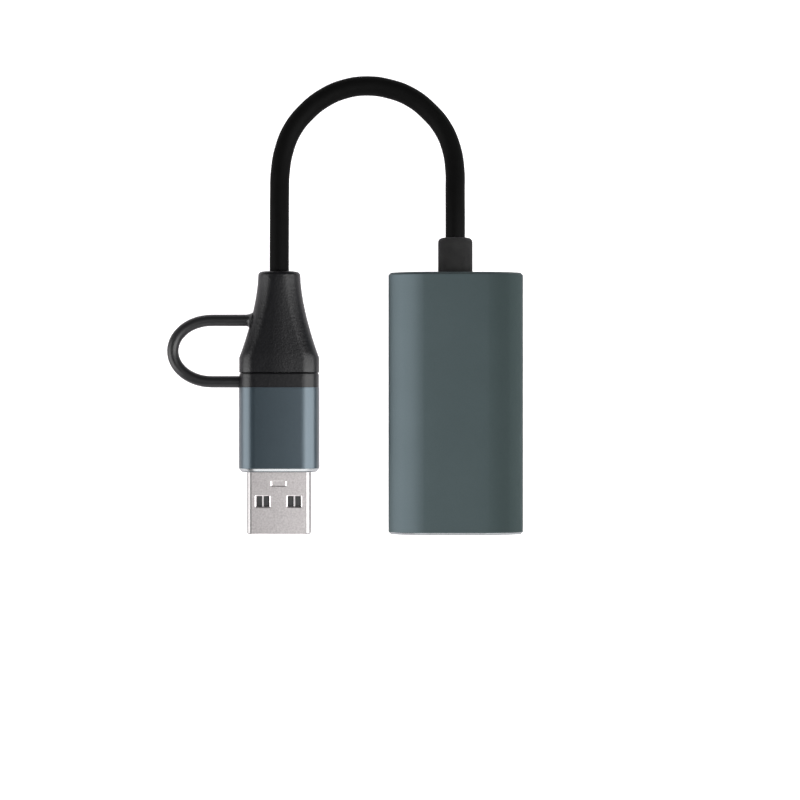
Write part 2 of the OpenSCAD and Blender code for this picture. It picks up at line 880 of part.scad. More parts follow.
// The wires spread apart to both faces of the plug's board
module plug_leads() {
    land_z = (plug_board_t + lead_d + fit) / 2;
    color("#a33a32")
        at_plug()
            for (row = [-1, 1], i = lead_places)
                skin(tube_rings([
                    [i * lead_pitch, plug_cable_end_y, row * lead_pitch / 2],
                    [i * lead_pitch, plug_board_y + lead_d / 2, row * land_z],
                    [i * lead_pitch, plug_board_y - tail_l, row * land_z]
                ], lead_d, cable_sides));
}

// Tether

// A pocket for one of the tether's stubs, from a side that faces -X
module tether_pocket(x, y) {
    translate([x - past, y, 0])
        rotate([0, 90, 0])
            cylinder(d = stub_d + 2 * stub_play, h = past + pocket_l);
}

// The loop runs from its stub in the housing out to the bow and back to its stub in the collar
function tether_route() =
    let (up_x = -housing_half_w, down_x = -sleeve_w / 2 - tether_gap, stub_l = pocket_l - tether_gap)
    concat(
        [for (x = [up_x + stub_l, up_x - tether_gap, up_x - 2 * tether_gap]) [x, tether_up_y, 0]],
        [for (i = [0:tether_steps])
            let (a = 90 + 180 * i / tether_steps)
            [tether_bow_x + tether_bow * cos(a), tether_mid_y + tether_half * sin(a), 0]],
        [for (x = [down_x - tether_gap, down_x, stub_l - collar_w / 2]) [x, tether_down_y, 0]]
    );

// The first and last two rings are the stubs
module tether() {
    route = tether_route();
    last = len(route) - 1;
    color("#26272a")
        at_plug()
            skin([for (i = [0:last])
                let (is_stub = i < 2 || i > last - 2)
                ring_on(
                    route[i], heading(route, i),
                    (is_stub ? stub_d : tether_w) / 2, (is_stub ? stub_d : tether_h) / 2, tether_sides
                )]);
}

// Adapter

module adapter_collar() {
    color("#2d2e30")
        at_plug()
            difference() {
                union() {
                    along_y(sleeve_y, collar_y)
                        polygon(rounded(collar_w, collar_h, sleeve_r - collar_step));
                    along_y(spigot_y, sleeve_y + fit)
                        sleeve_inside(fit);
                }
                along_y(spigot_y - past, collar_y + past)
                    socket_outline(socket_wall + fit / 2);
                tether_pocket(-collar_w / 2, tether_down_y);
            }
}

// The sleeve's inside in section, drawn in by an inset
module sleeve_inside(inset) {
    draw_in = sleeve_wall + inset;
    polygon(rounded(sleeve_w - 2 * draw_in, sleeve_h - 2 * draw_in, sleeve_r - draw_in));
}

module adapter_sleeve() {
    function ring(y, inset) =
        ring_at(rounded(sleeve_w - 2 * inset, sleeve_h - 2 * inset, sleeve_r - inset), y);
    color("#55606a")
        at_plug()
            difference() {
                skin([
                    ring(sleeve_y, 0),
                    ring(sleeve_end_y + sleeve_chamfer_l, 0),
                    ring(sleeve_end_y, sleeve_wall - sleeve_rim)
                ]);
                along_y(sleeve_end_y - past, sleeve_y + past)
                    sleeve_inside(0);
            }
}

module adapter_end_plug() {
    color("#202123")
        at_plug()
            along_y(sleeve_end_y, sleeve_end_y + end_plug_l)
                difference() {
                    sleeve_inside(fit);
                    host_outline(fit);
                }
}

// The socket's opening in section, which leaves play around the reversible plug
module socket_outline(grow) {
    out = 2 * (tip_play + grow);
    polygon(rounded(tip_w + out, tip_h + out, tip_h));
}

module adapter_socket_shell() {
    color("#b4b5b6")
        at_plug()
            along_y(socket_back_y, socket_y)
                difference() {
                    socket_outline(socket_wall);
                    socket_outline(0);
                }
}

module adapter_socket_tongue() {
    color("#1b1c1e")
        difference() {
            at_plug() {
                along_y(socket_back_y, socket_block_y)
                    socket_outline(-fit / 2);
                block(
                    [-tongue_w / 2, tongue_w / 2],
                    [socket_block_y - socket_block_l / 2, socket_block_y + tongue_l],
                    [-tongue_t / 2, tongue_t / 2]
                );
            }
            adapter_socket_contacts();
        }
}

module adapter_socket_contacts() {
    span = [socket_back_y - tail_l, socket_block_y + tongue_l - contact_set];
    color("#c9b06a")
        at_plug()
            for (low = [-tongue_t / 2, tongue_t / 2 - strip_t])
                strip_row(tip_contacts, tip_pitch, tip_contact_w, span, [low, low + strip_t]);
}

module adapter_board() {
    half_t = adapter_board_t / 2;
    color("#1f5a3a")
        at_plug()
            block(
                [-adapter_board_w / 2, adapter_board_w / 2],
                [adapter_board_y, socket_back_y],
                [-half_t, half_t]
            );
}

// Two resistors between the contact tails of the board's two ends
module adapter_resistors() {
    mid_y = (adapter_board_y + socket_back_y) / 2;
    color("#3b3c3e")
        at_plug()
            for (x = [-1, 1])
                translate([x * resistor_size.x, mid_y, adapter_board_t / 2])
                    translate([-resistor_size.x / 2, -resistor_size.y / 2, 0])
                        cube(resistor_size);
}

// Host plug

module host_outline(grow) {
    polygon(rounded(host_w + 2 * grow, host_h + 2 * grow, host_r + grow));
}

// The sheet keeps its thickness where the dimple is pressed into it
module host_plug_shell() {
    window_mid = host_y + window_y;
    dimple_mid = sleeve_end_y - dimple_y;
    color("#c3bdbd")
        at_plug()
            difference() {
                union() {
                    along_y(host_y, host_back_y)
                        difference() {
                            host_outline(0);
                            host_outline(-host_wall);
                        }
                    dimple(dimple_mid, host_wall, [host_in_h / 2 - dimple_d, host_h / 2 - host_wall / 2]);
                }
                dimple(dimple_mid, 0, [host_h / 2 - dimple_d, host_h / 2 + past]);
                for (x = [-window_x, window_x])
                    block(
                        [x - window_w / 2, x + window_w / 2],
                        [window_mid - window_l / 2, window_mid + window_l / 2],
                        [-host_h / 2 - past, host_h / 2 + past]
                    );
            }
}

module dimple(mid, grow, heights) {
    block(
        [-dimple_w / 2 - grow, dimple_w / 2 + grow],
        [mid - dimple_l / 2 - grow, mid + dimple_l / 2 + grow],
        heights
    );
}

// The insulator's tongue is the upper half of the plug, and its block fills the held end
module host_plug_insulator() {
    top = host_in_h / 2 - rib_h;
    half_w = host_in_w / 2 - fit;
    color("#18191b")
        difference() {
            at_plug() {
                block([-half_w, half_w], [host_y + insulator_set, host_back_y], [0, top]);
                along_y(host_block_y, host_back_y)
                    host_outline(-host_wall - fit);
                for (x = [-window_x, window_x])
                    block(
                        [x - rib_w / 2, x + rib_w / 2],
                        [host_y + insulator_set + rib_w, host_block_y + rib_w],
                        [top - rib_w, host_in_h / 2 - fit / 2]
                    );
            }
            host_plug_contacts();
        }
}

// Four wide strips on the tongue's lower face step up to the adapter board's top, and five
// narrow springs below them run straight to its underside
module host_plug_contacts() {
    face_z = adapter_board_t / 2;
    on_board_y = adapter_board_y + tail_l;
    rise_y = host_step_y - strip_t;
    wide = [-host_contact_w / 2, host_contact_w / 2];
    narrow = [-host_spring_w / 2, host_spring_w / 2];
    color("#c9b06a")
        at_plug() {
            for (x = host_contact_x)
                translate([x, 0, 0]) {
                    block(wide, [host_y + host_contact_set, host_step_y], [0, strip_t]);
                    block(wide, [rise_y, host_step_y], [0, face_z + strip_t]);
                    block(wide, [rise_y, on_board_y], [face_z, face_z + strip_t]);
                }
            for (x = host_spring_x)
                translate([x, 0, 0])
                    block(narrow, [host_block_y - host_spring_l, on_board_y], [-face_z - strip_t, -face_z]);
        }
}

box_tube();
front_plate();
rear_plate();
video_socket_shell();
video_socket_insulator();
video_socket_contacts();
main_board();
capture_chip();
thermal_pad();
memory_chip();
clock_crystal();
voltage_regulators();
power_coil();
capacitors();
board_leads();
strain_relief();
cable_ferrules();
cable_ends();
cable();
plug_housing();
plug_shell();
plug_insulator();
plug_contacts();
plug_latches();
plug_board();
plug_leads();
tether();
adapter_collar();
adapter_sleeve();
adapter_end_plug();
adapter_socket_shell();
adapter_socket_tongue();
adapter_socket_contacts();
adapter_board();
adapter_resistors();
host_plug_shell();
host_plug_insulator();
host_plug_contacts();
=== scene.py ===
# %% [markdown]
# # A video capture box
# The real object is a small aluminium box with a video socket in one end and a short cable in the other.
# The cable ends in a plug, and an adapter is pushed onto that plug and tied to it by a rubber loop.
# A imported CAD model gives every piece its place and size, and this script dresses it for the camera.
# Whole pieces that show are modelled again here with rounder shapes, and the rest keep their CAD shape
# and only get a finish. All lengths are in metres, in the same frame as the CAD model.

# %% Load the frame
from math import acos, atan2, cos, pi, radians, sin, tan

import bmesh
import bpy
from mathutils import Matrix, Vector


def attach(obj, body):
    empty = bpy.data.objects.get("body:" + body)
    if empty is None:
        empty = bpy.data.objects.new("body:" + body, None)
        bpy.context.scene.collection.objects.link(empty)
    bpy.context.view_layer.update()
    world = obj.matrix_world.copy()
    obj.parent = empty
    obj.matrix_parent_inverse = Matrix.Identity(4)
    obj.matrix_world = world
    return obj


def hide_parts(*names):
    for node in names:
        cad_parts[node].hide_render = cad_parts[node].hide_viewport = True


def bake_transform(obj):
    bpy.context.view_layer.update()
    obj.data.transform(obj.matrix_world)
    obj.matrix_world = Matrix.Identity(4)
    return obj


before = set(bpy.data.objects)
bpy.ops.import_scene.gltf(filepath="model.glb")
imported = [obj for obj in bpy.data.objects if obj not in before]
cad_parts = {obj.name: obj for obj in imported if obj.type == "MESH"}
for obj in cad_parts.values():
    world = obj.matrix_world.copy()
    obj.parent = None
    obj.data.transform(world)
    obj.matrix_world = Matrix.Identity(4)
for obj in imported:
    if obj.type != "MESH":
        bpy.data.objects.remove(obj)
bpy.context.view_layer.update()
mm = 0.001

# %% [markdown]
# ## The camera
# The photograph looks straight down on the table. A new camera in Blender already looks along -Z with +Y
# up in the picture, so it only needs a place and a lens. The ends of the box bow outwards a little in the
# photograph, which a far camera wouldn't show, so it stands only 350 mm above the table.

# %% Camera
camera_height = 350 * mm
camera_x = -10.42 * mm
camera_y = 0.65 * mm
focal_length_pixels = 1825
picture_pixels = 800
sensor_width = 36.0

camera_data = bpy.data.cameras.new("camera")
camera_data.sensor_width = sensor_width
camera_data.lens = sensor_width * focal_length_pixels / picture_pixels
camera_data.clip_start = 10 * mm
camera = bpy.data.objects.new("camera", camera_data)
camera.location = (camera_x, camera_y, camera_height)
bpy.context.collection.objects.link(camera)
bpy.context.scene.camera = camera
bpy.context.scene.view_settings.view_transform = "Standard"
print("lens:", round(camera_data.lens, 2), "mm")

# %% [markdown]
# ## Shader maths in plain Python
# A finish is a small net of nodes. Wiring them by hand in code is long, so one class wraps a socket and
# lets Python's own operators add the Math nodes. Its other method adds any node: the settings go in first,
# and then each socket gets a value or a wire.

# %% Wires
class Wire:
    """An output of a node, which can be used in sums."""

    def __init__(self, tree, socket=None):
        self.tree = tree
        self.socket = socket

    def node(self, kind, settings=None, inputs=None, output=0):
        """Adds a node and gives one of its outputs."""
        made = self.tree.nodes.new(kind)
        for name, value in (settings or {}).items():
            setattr(made, name, value)
        for name, value in (inputs or {}).items():
            if isinstance(value, Wire):
                self.tree.links.new(value.socket, made.inputs[name])
            else:
                made.inputs[name].default_value = value
        return Wire(self.tree, made.outputs[output])

    def math(self, operation, first, second):
        return self.node("ShaderNodeMath", {"operation": operation}, {0: first, 1: second})

    def __add__(self, other):
        return self.math("ADD", self, other)

    def __sub__(self, other):
        return self.math("SUBTRACT", self, other)

    def __rsub__(self, other):
        return self.math("SUBTRACT", other, self)

    def __mul__(self, other):
        return self.math("MULTIPLY", self, other)

    __radd__ = __add__
    __rmul__ = __mul__


# %% [markdown]
# ## What every finish shares
# Each finish starts from the Principled shader. Its pattern is noise on Object coordinates, which are the
# piece's own metres, so a grain of 0.1 mm is a noise scale of 1 / 0.1 mm. Colour moves a little between
# two tones, roughness wanders, and a bump gives the grain its depth.

# %% Finish
class Finish:
    """One material with its shader and its coordinates."""

    def __init__(self, name, metallic=0.0, specular=0.5):
        self.material = bpy.data.materials.new(name)
        self.material.use_nodes = True
        self.tree = self.material.node_tree
        self.shader = self.tree.nodes["Principled BSDF"]
        self.shader.inputs["Metallic"].default_value = metallic
        self.shader.inputs["Specular IOR Level"].default_value = specular
        self.wire = Wire(self.tree)
        self.place = self.wire.node("ShaderNodeTexCoord", output="Object")

    def feed(self, socket, value):
        self.tree.links.new(value.socket, self.shader.inputs[socket])

    def noise(self, size, detail=2.0, stretch=(1, 1, 1)):
        """Noise between 0 and 1 with spots of about one size, drawn out along an axis by its stretch."""
        place = self.wire.node("ShaderNodeMapping", {}, {
            "Vector": self.place,
            "Scale": [1 / (size * along) for along in stretch],
        })
        return self.wire.node(
            "ShaderNodeTexNoise", {}, {"Vector": place, "Scale": 1.0, "Detail": detail}, "Fac"
        )

    def colour(self, dark, light, share):
        """Moves the base colour between two tones."""
        mixed = self.wire.node(
            "ShaderNodeMix", {"data_type": "RGBA"}, {0: share, 6: (*dark, 1), 7: (*light, 1)}, 2
        )
        self.feed("Base Color", mixed)

    def bump(self, height, depth, strength=0.5):
        normal = self.wire.node(
            "ShaderNodeBump", {}, {"Strength": strength, "Distance": depth, "Height": height}
        )
        self.feed("Normal", normal)


# %% [markdown]
# ## Anodised aluminium
# The box and the adapter's sleeve are blasted with fine beads and then anodised. Blasting leaves pits of
# about a tenth of a millimetre, and a coarser grain of about a quarter, that blur every reflection. The
# anodised layer carries the colour, and its clear surface adds a white gloss of its own, which is the coat.
# The cut rims are polished after anodising, so they are bare metal with fine turning lines.

# %% Aluminium
def blasted_aluminium(name, dark, light, roughness, coat, coat_roughness):
    finish = Finish(name, metallic=0.9)
    finish.shader.inputs["Coat Weight"].default_value = coat
    finish.shader.inputs["Coat Roughness"].default_value = coat_roughness
    finish.shader.inputs["Coat IOR"].default_value = 1.6
    pits = finish.noise(0.09 * mm, detail=3.0)
    grain = finish.noise(0.28 * mm, detail=2.0)
    clouds = finish.noise(9 * mm)
    finish.colour(dark, light, clouds * 0.3 + pits * 0.3 + grain * 0.4)
    finish.feed("Roughness", roughness - 0.1 + pits * 0.1 + grain * 0.1)
    finish.bump(pits * 0.3 + grain * 0.7, 0.03 * mm, 0.6)
    return finish.material


def polished_aluminium(name, dark, light):
    finish = Finish(name, metallic=1.0)
    lines = finish.noise(0.05 * mm, stretch=(30, 1, 30))
    finish.colour(dark, light, lines)
    finish.feed("Roughness", 0.2 + lines * 0.12)
    return finish.material


box_aluminium = blasted_aluminium(
    "box_aluminium", (0.036, 0.063, 0.064), (0.068, 0.104, 0.105), 0.47, coat=0.5, coat_roughness=0.47
)
sleeve_aluminium = blasted_aluminium(
    "sleeve_aluminium", (0.024, 0.043, 0.058), (0.044, 0.069, 0.086), 0.40, coat=0.8, coat_roughness=0.30
)
foot_edge = polished_aluminium("foot_edge", (0.46, 0.48, 0.49), (0.58, 0.60, 0.61))
rim_edge = polished_aluminium("rim_edge", (0.34, 0.36, 0.37), (0.44, 0.46, 0.47))

# %% [markdown]
# ## Moulded plastics and rubber
# Black plastic is never quite black: it is a dark grey with a fine spark-eroded grain from the mould, and
# its gloss shows its shape. Rubber has a finer skin, with a little dust in patches. The plastic inside the
# host plug has crush ribs, and their tops are painted pale above a given height: a painted highlight.

# %% Plastics and rubber
def moulded_plastic(name, tone, roughness, grain, depth, specular=0.5):
    finish = Finish(name, specular=specular)
    texture = finish.noise(grain, detail=3.0)
    patches = finish.noise(5 * mm)
    darker = [part * 0.85 for part in tone]
    lighter = [part * 1.15 for part in tone]
    finish.colour(darker, lighter, texture * 0.5 + patches * 0.5)
    finish.feed("Roughness", roughness - 0.06 + patches * 0.06 + texture * 0.06)
    finish.bump(texture, depth, 0.4)
    return finish.material


def soft_rubber(name, tone, roughness, specular):
    finish = Finish(name, specular=specular)
    skin = finish.noise(0.12 * mm, detail=3.0)
    dust = finish.noise(1.5 * mm, detail=4.0)
    darker = [part * 0.8 for part in tone]
    dusty = [part * 1.25 for part in tone]
    finish.colour(darker, dusty, dust)
    finish.feed("Roughness", roughness - 0.08 + dust * 0.08 + skin * 0.08)
    finish.bump(skin, 0.006 * mm, 0.3)
    return finish.material


def ribbed_plastic(name, tone, painted_highlight_tone, rib_z):
    """Plastic whose ribs are painted pale above a height: a painted highlight on their tops."""
    finish = Finish(name)
    height = finish.wire.node("ShaderNodeSeparateXYZ", {}, {"Vector": finish.place}, "Z")
    grain = finish.noise(0.15 * mm, detail=3.0)
    # The pale tone above the rib height is a painted highlight on the rib tops.
    finish.colour(tone, painted_highlight_tone, finish.wire.math("GREATER_THAN", height, rib_z))
    finish.feed("Roughness", 0.4 + grain * 0.15)
    finish.bump(grain, 0.006 * mm, 0.3)
    return finish.material


plate_plastic = moulded_plastic("plate_plastic", (0.003, 0.006, 0.006), 0.45, 0.15 * mm, 0.012 * mm, 0.15)
housing_plastic = moulded_plastic("housing_plastic", (0.002, 0.002, 0.003), 0.33, 0.4 * mm, 0.1 * mm, 0.4)
insulator_plastic = moulded_plastic("insulator_plastic", (0.008, 0.008, 0.009), 0.45, 0.12 * mm, 0.006 * mm)
chip_plastic = moulded_plastic("chip_plastic", (0.020, 0.020, 0.022), 0.55, 0.06 * mm, 0.006 * mm)
# The pale tone is a painted highlight on the insulator's rib tops.
ribbed_insulator = ribbed_plastic("ribbed_insulator", (0.045, 0.045, 0.046), (0.55, 0.53, 0.53), 5.9 * mm)
ferrite = moulded_plastic("coil_ferrite", (0.070, 0.066, 0.062), 0.7, 0.2 * mm, 0.02 * mm)
ceramic = moulded_plastic("capacitor_ceramic", (0.390, 0.275, 0.148), 0.4, 0.1 * mm, 0.004 * mm)
wire_plastic = moulded_plastic("wire_insulation", (0.367, 0.043, 0.033), 0.4, 0.2 * mm, 0.004 * mm)
relief_rubber = soft_rubber("relief_rubber", (0.11, 0.11, 0.11), 0.6, 0.03)
cable_rubber = soft_rubber("cable_rubber", (0.004, 0.004, 0.004), 0.5, 0.03)
tether_rubber = soft_rubber("tether_rubber", (0.008, 0.008, 0.009), 0.38, 0.5)
pad_silicone = soft_rubber("pad_silicone", (0.263, 0.319, 0.381), 0.6, 0.4)

# %% [markdown]
# ## Plated metals and boards
# The plugs are folded from steel strip and nickel plated. The strip's rolling leaves faint streaks along
# the plug, and the plating has a slightly uneven, warm bloom. The host plug's sides and rounded edges get
# a darker, rougher copy of the same steel, which is painted shade. The contacts are gold flashed. The
# boards hide inside, with green lacquer over the cross weave of their glass cloth.

# %% Metals and boards
def plated_metal(name, dark, light, roughness):
    finish = Finish(name, metallic=1.0)
    streaks = finish.noise(0.12 * mm, stretch=(1, 12, 1))
    bloom = finish.noise(0.35 * mm, detail=4.0)
    finish.colour(dark, light, bloom * 1.6 + streaks * 0.4 - 0.5)
    finish.feed("Roughness", roughness - 0.07 + bloom * 0.08 + streaks * 0.06)
    finish.bump(streaks, 0.002 * mm, 0.3)
    return finish.material


def lacquered_board(name):
    finish = Finish(name)
    warp = finish.noise(0.25 * mm, stretch=(1, 6, 1))
    weft = finish.noise(0.25 * mm, stretch=(6, 1, 1))
    finish.colour((0.008, 0.070, 0.030), (0.020, 0.140, 0.065), warp * 0.5 + weft * 0.5)
    finish.feed("Roughness", 0.25 + warp * 0.1)
    finish.bump(warp + weft, 0.006 * mm, 0.3)
    return finish.material


plug_steel = plated_metal("plug_steel", (0.58, 0.54, 0.54), (0.86, 0.82, 0.82), 0.32)
# A darker, rougher copy of the plug steel: painted shade for the host plug's sides and rounded edges.
painted_shade_side_steel = plated_metal("painted_shade_side_steel", (0.29, 0.28, 0.28), (0.38, 0.37, 0.37), 0.36)
plated_steel = plated_metal("plated_steel", (0.52, 0.53, 0.52), (0.64, 0.65, 0.64), 0.24)
contact_gold = plated_metal("contact_brass", (0.55, 0.40, 0.13), (0.68, 0.50, 0.18), 0.25)
board_laminate = lacquered_board("board_laminate")
print("finishes:", len(bpy.data.materials))

# %% [markdown]
# ## The floor and the light
# The photograph has a pure white ground and hardly any shadow. The floor is white card with a little glow
# of its own that only the camera, reflections and clear pieces see, so it turns white without lighting the
# object, and a faint shadow stays under it. One soft lamp hangs overhead, and one stands in front for the
# rims that face it. Two stand left and right of the plug for the highlight along each of its sides, and two
# beside the box, where the stronger one makes the broad highlight on its left.

# %% Floor, lamps and world
def floor_material():
    material = bpy.data.materials.new("white_card")
    material.use_nodes = True
    tree = material.node_tree
    tree.nodes.clear()
    wire = Wire(tree)
    path = wire.node("ShaderNodeLightPath")
    rays = path.socket.node.outputs
    by_eye = Wire(tree, rays["Is Camera Ray"])
    by_gloss = Wire(tree, rays["Is Glossy Ray"])
    by_reflection = wire.math("MAXIMUM", by_gloss, Wire(tree, rays["Is Transmission Ray"]))
    card = wire.node("ShaderNodeBsdfDiffuse", {}, {"Color": (0.5, 0.5, 0.5, 1)})
    strength = by_eye * 0.8 + by_reflection * 0.15
    glow = wire.node("ShaderNodeEmission", {}, {"Color": (1, 1, 1, 1), "Strength": strength})
    both = wire.node("ShaderNodeAddShader", {}, {0: card, 1: glow})
    output = tree.nodes.new("ShaderNodeOutputMaterial")
    tree.links.new(both.socket, output.inputs["Surface"])
    return material


def soft_lamp(name, place, aim, size, brightness, colour=(1, 1, 1)):
    """A flat lamp of an even brightness, turned to face a point."""
    data = bpy.data.lights.new(name, "AREA")
    data.color = colour
    data.shape = "RECTANGLE"
    data.size, data.size_y = size
    data.energy = brightness * pi * size[0] * size[1]
    lamp = bpy.data.objects.new(name, data)
    lamp.location = place
    lamp.rotation_euler = (Vector(aim) - Vector(place)).to_track_quat("-Z", "Y").to_euler()
    bpy.context.collection.objects.link(lamp)
    return lamp


bpy.ops.object.select_all(action="DESELECT")
bpy.ops.mesh.primitive_plane_add(size=6)
floor = bpy.context.object
floor.name = "floor"
floor.data.materials.append(floor_material())

soft_lamp(
    "top_lamp", place=(0.12, -0.06, 0.42), aim=(0.12, -0.06, 0), size=(0.36, 0.32), brightness=0.95
)
soft_lamp(
    "front_lamp", place=(0.10, -0.60, 0.20), aim=(0, 0, 0), size=(0.6, 0.36), brightness=1.6
)
plug_left_lamp = soft_lamp(
    "plug_left_lamp", place=(-0.52, -0.10, 0.22), aim=(-0.03, 0, 0), size=(0.45, 0.56), brightness=3.8
)
plug_right_lamp = soft_lamp(
    "plug_right_lamp", place=(0.34, -0.08, 0.25), aim=(-0.03, -0.08, 0), size=(0.36, 0.74), brightness=4.3
)
box_left_lamp = soft_lamp(
    "box_left_lamp", place=(-0.32, 0, 0.29), aim=(0, 0, 0), size=(0.5, 0.56), brightness=2.7,
    colour=(1, 0.92, 1),
)
box_right_lamp = soft_lamp(
    "box_right_lamp", place=(0.50, 0, 0.20), aim=(0, 0, 0), size=(0.6, 0.5), brightness=0.9
)

world = bpy.data.worlds.new("studio")
world.use_nodes = True
world.node_tree.nodes["Background"].inputs["Color"].default_value = (1, 1, 1, 1)
world.node_tree.nodes["Background"].inputs["Strength"].default_value = 0.10
bpy.context.scene.world = world

# %% [markdown]
# ## Tools for modelling
# The pieces are modelled with the operators that a person uses in Blender's edit mode. An operator works
# on what is selected, so these helpers clear the selection, add a primitive at its true size and place, and
# then pick edges or faces by where they lie and which way they run or face.

# %% Modelling helpers
hair = 0.005 * mm
sharp_angle = radians(28)
moulded_edge = 0.12 * mm
turned_edge = 0.04 * mm
folded_edge = 0.03 * mm


def deselect():
    if bpy.context.object and bpy.context.object.mode == "EDIT":
        bpy.ops.object.mode_set(mode="OBJECT")
    bpy.ops.object.select_all(action="DESELECT")


def begin(name):
    """Names the new primitive, puts its place into its mesh and opens it for editing."""
    piece = bpy.context.object
    piece.name = name
    bpy.ops.object.transform_apply(location=True, rotation=True, scale=True)
    bpy.ops.object.mode_set(mode="EDIT")
    return piece


def block(name, x, y, z):
    """A box between a low and a high value in each direction."""
    deselect()
    middle = [(low + high) / 2 for low, high in (x, y, z)]
    size = [high - low for low, high in (x, y, z)]
    bpy.ops.mesh.primitive_cube_add(size=1, location=middle, scale=size)
    return begin(name)


def round_bar(name, radius, start, end, x, z):
    """A cylinder along Y."""
    deselect()
    bpy.ops.mesh.primitive_cylinder_add(
        vertices=64, radius=radius, depth=end - start,
        location=(x, (start + end) / 2, z), rotation=(pi / 2, 0, 0),
    )
    return begin(name)


def pick_edges(test):
    """Selects the edges whose middle and direction pass a test."""
    bpy.ops.mesh.select_mode(type="EDGE")
    bpy.ops.mesh.select_all(action="DESELECT")
    data = bpy.context.object.data
    mesh = bmesh.from_edit_mesh(data)
    for edge in mesh.edges:
        first, second = (corner.co for corner in edge.verts)
        if test((first + second) / 2, (second - first).normalized()):
            edge.select_set(True)
    bmesh.update_edit_mesh(data)


def pick_faces(test):
    """Selects the faces whose middle and normal pass a test."""
    bpy.ops.mesh.select_mode(type="FACE")
    bpy.ops.mesh.select_all(action="DESELECT")
    data = bpy.context.object.data
    mesh = bmesh.from_edit_mesh(data)
    mesh.normal_update()
    for face in mesh.faces:
        if test(face.calc_center_median(), face.normal):
            face.select_set(True)
    bmesh.update_edit_mesh(data)


def near(value, target):
    return abs(value - target) < hair


def extrude(x, y, z):
    bpy.ops.mesh.extrude_region_move(TRANSFORM_OT_translate={"value": (x, y, z)})


def resize(x, y, z, centre):
    bpy.ops.transform.resize(value=(x, y, z), center_override=centre)


def round_edges(offset, segments):
    bpy.ops.mesh.bevel(offset=offset, segments=segments, affect="EDGES", clamp_overlap=False)


def cut(piece, cutter):
    """Takes the cutter's shape out of the piece."""
    deselect()
    bpy.context.view_layer.objects.active = piece
    piece.select_set(True)
    hole = piece.modifiers.new("hole", "BOOLEAN")
    hole.operation = "DIFFERENCE"
    hole.object = cutter
    bpy.ops.object.modifier_apply(modifier=hole.name)
    bpy.data.objects.remove(cutter)


def complete(piece, body, nodes, finishes, edge):
    """Adds finishes, breaks the sharp edges, smooths the shading, and ties the piece to the frame."""
    deselect()
    bpy.context.view_layer.objects.active = piece
    piece.select_set(True)
    for finish in finishes:
        piece.data.materials.append(finish)
    if edge:
        soften = piece.modifiers.new("soften", "BEVEL")
        soften.limit_method = "ANGLE"
        soften.angle_limit = sharp_angle
        soften.width = edge
        soften.segments = 2
        bpy.ops.object.modifier_apply(modifier=soften.name)
    bpy.ops.object.shade_smooth_by_angle(angle=sharp_angle)
    flats = piece.modifiers.new("flats", "WEIGHTED_NORMAL")
    flats.keep_sharp = True
    bpy.ops.object.modifier_apply(modifier=flats.name)
    if body:
        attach(piece, body)
    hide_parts(*nodes)
    print(piece.name, "faces:", len(piece.data.polygons))


# %% [markdown]
# ## The cable
# A cable is a curve with a round bevel, so it keeps one thickness however it bends. It leaves the strain
# relief level, sinks to the table as it arches over to the left, and climbs into the plug's housing. Its
# hidden ends inside the box and the housing are on the same curve.

# %% Cable
cable_d = 3.7 * mm
box_cable_z = 6 * mm
plug_x = -33.3 * mm
plug_z = 4 * mm
table_z = 1.89 * mm
exit_y = 31.15 * mm
box_cable_end = 18.1 * mm
plug_cable_end = 16.95 * mm
# x and y from the exit in millimetres, and the share of the climb from the table
box_leg = [
    (0, 0, 1), (0, 3, 1), (0, 6, 0.94), (0, 9, 0.8), (0, 12.8, 0.58), (-0.6, 17.1, 0.34),
    (-2.2, 21.1, 0.18), (-4.9, 24.5, 0.07), (-8.3, 27.2, 0.02), (-12.3, 28.8, 0), (-16.6, 29.4, 0),
]
plug_leg = [
    (-21, 28.8, 0), (-24.9, 27.1, 0), (-28.2, 24.5, 0), (-30.9, 21.1, 0.05), (-32.5, 17.1, 0.2),
    (-33.2, 12.8, 0.4), (-33.3, 8.4, 0.62), (-33.3, 4.2, 0.82), (-33.3, 0, 0.95), (-33.3, -3, 1),
    (-33.3, -6.2, 1),
]


def climb(leg, top):
    return [(x * mm, exit_y + y * mm, table_z + share * (top - table_z)) for x, y, share in leg]


route = [(0, box_cable_end, box_cable_z), *climb(box_leg, box_cable_z)]
route += [*climb(plug_leg, plug_z), (plug_x, plug_cable_end, plug_z)]
cable_curve = bpy.data.curves.new("cable_cord", "CURVE")
cable_curve.dimensions = "3D"
cable_curve.resolution_u = 8
cable_curve.bevel_depth = cable_d / 2
cable_curve.bevel_resolution = 8
cable_curve.use_fill_caps = True
spline = cable_curve.splines.new("BEZIER")
spline.bezier_points.add(len(route) - 1)
for point, place in zip(spline.bezier_points, route):
    point.co = place
    point.handle_left_type = "AUTO"
    point.handle_right_type = "AUTO"
cable_curve.materials.append(cable_rubber)
cable = bpy.data.objects.new("cable_cord", cable_curve)
bpy.context.collection.objects.link(cable)
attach(cable, "capture_box")
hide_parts("cable", "cable_ends")
print("cable length:", round(spline.calc_length() / mm, 1), "mm")

# %% [markdown]
# ## The strain relief
# It is a turned shape: a thick round collar with a rounded mouth, a thinner neck through the end plate and
# a flange behind it. A cylinder is the start. Its mouth is bevelled, and the neck and flange grow out of
# its other end by extrude and resize. Two faces bridged through it leave the bore for the cable.

# %% Strain relief
relief_r = 3.25 * mm
relief_round = 0.8 * mm
neck_r = 2.5 * mm
flange_r = 4 * mm
flange_t = 1.2 * mm
plate_t = 2 * mm
rear_y = 24.3 * mm
bore_gap = 0.02 * mm
bore_r = cable_d / 2 + bore_gap
relief_axis = (0, 0, box_cable_z)

